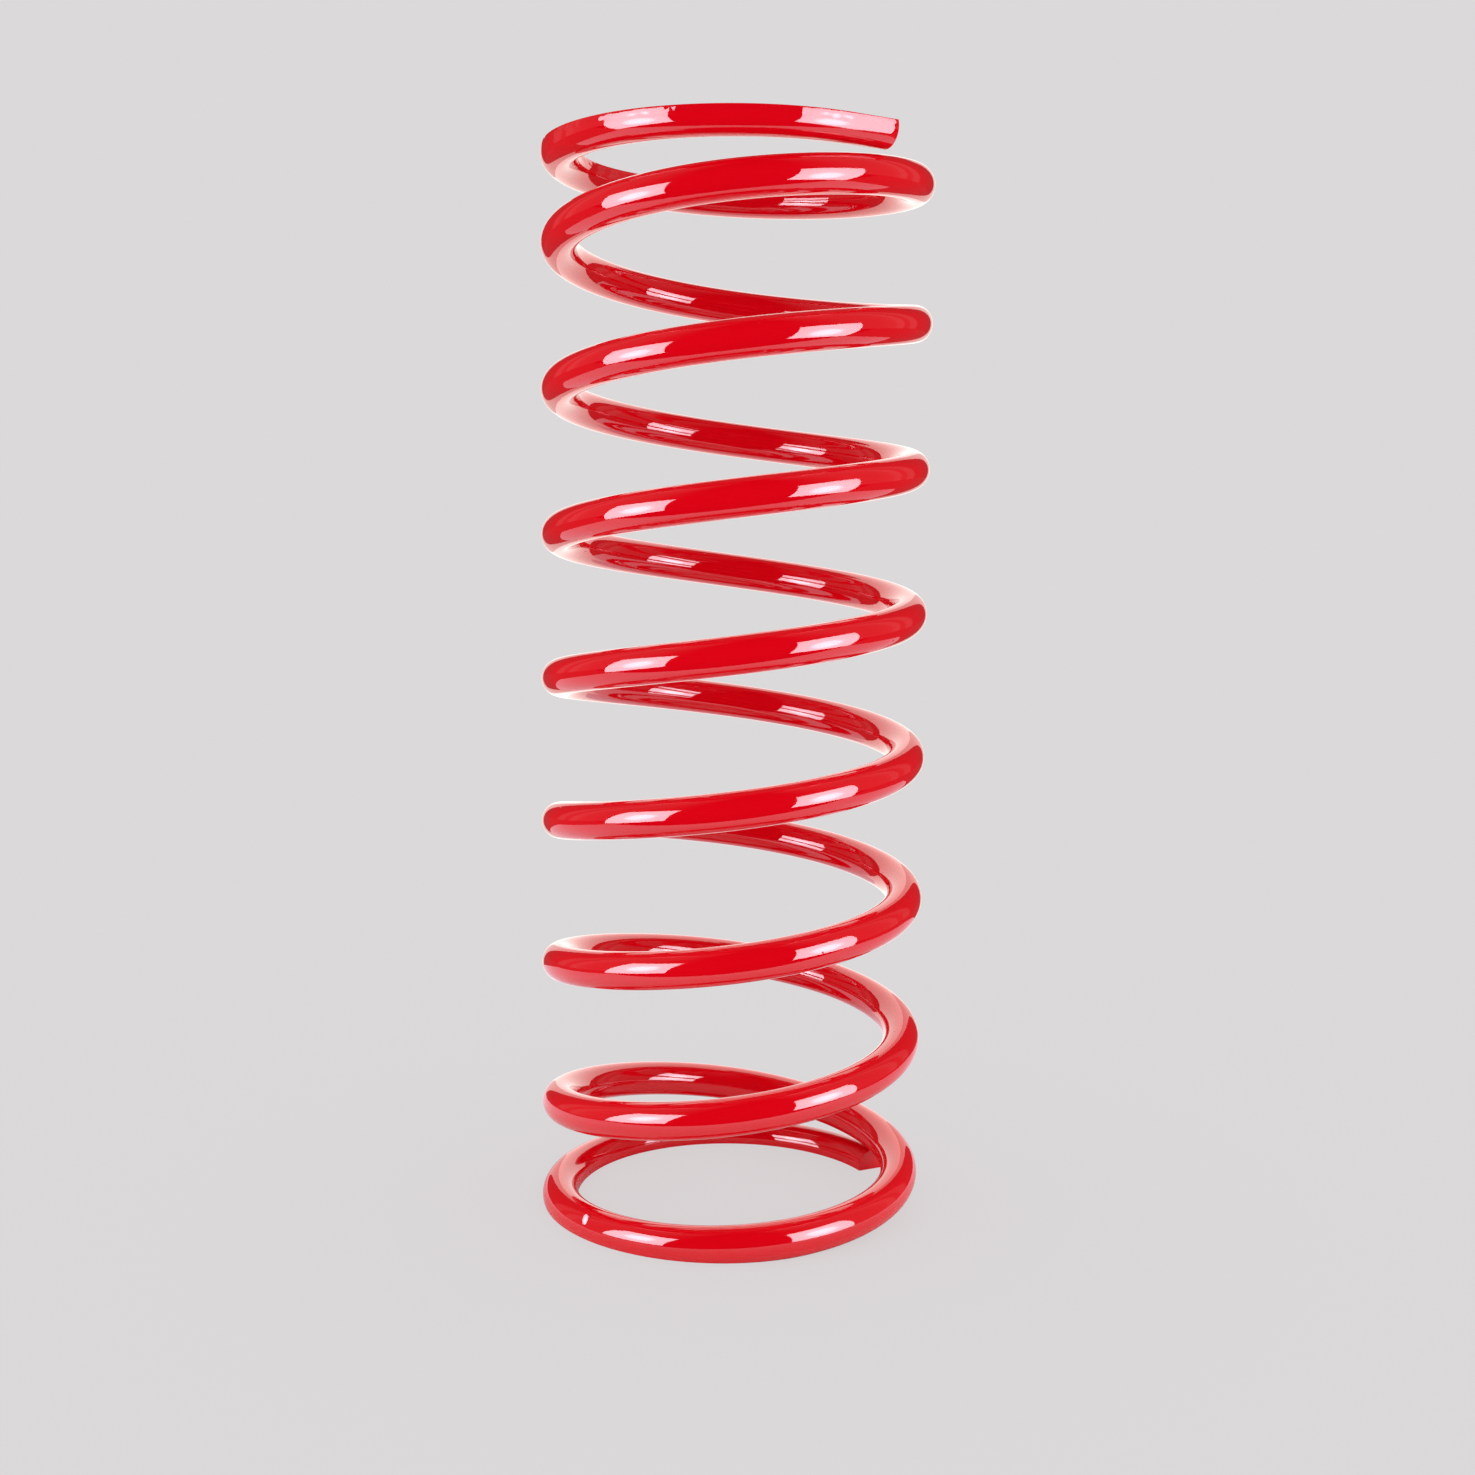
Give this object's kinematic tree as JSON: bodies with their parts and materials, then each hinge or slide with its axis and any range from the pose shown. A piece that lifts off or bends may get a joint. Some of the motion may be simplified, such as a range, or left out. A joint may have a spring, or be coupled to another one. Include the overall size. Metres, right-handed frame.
{
  "type": "helical compression spring",
  "caption": "Red-painted helical compression spring of round wire with closed, ground ends, standing upright.",
  "frame": {"origin": "where the coil's axis meets the plane of the lower ground face, on which the spring stands", "axes": "+Z along the coil's axis, from the lower ground face to the upper one; -Y is the side that faces the camera, +X its right"},
  "size_m": [0.074, 0.074, 0.2025],
  "materials": {
    "red_gloss_paint": "high gloss"
  },
  "bodies": {
    "root": {"spring": "red_gloss_paint"}
  },
  "joints": []
}
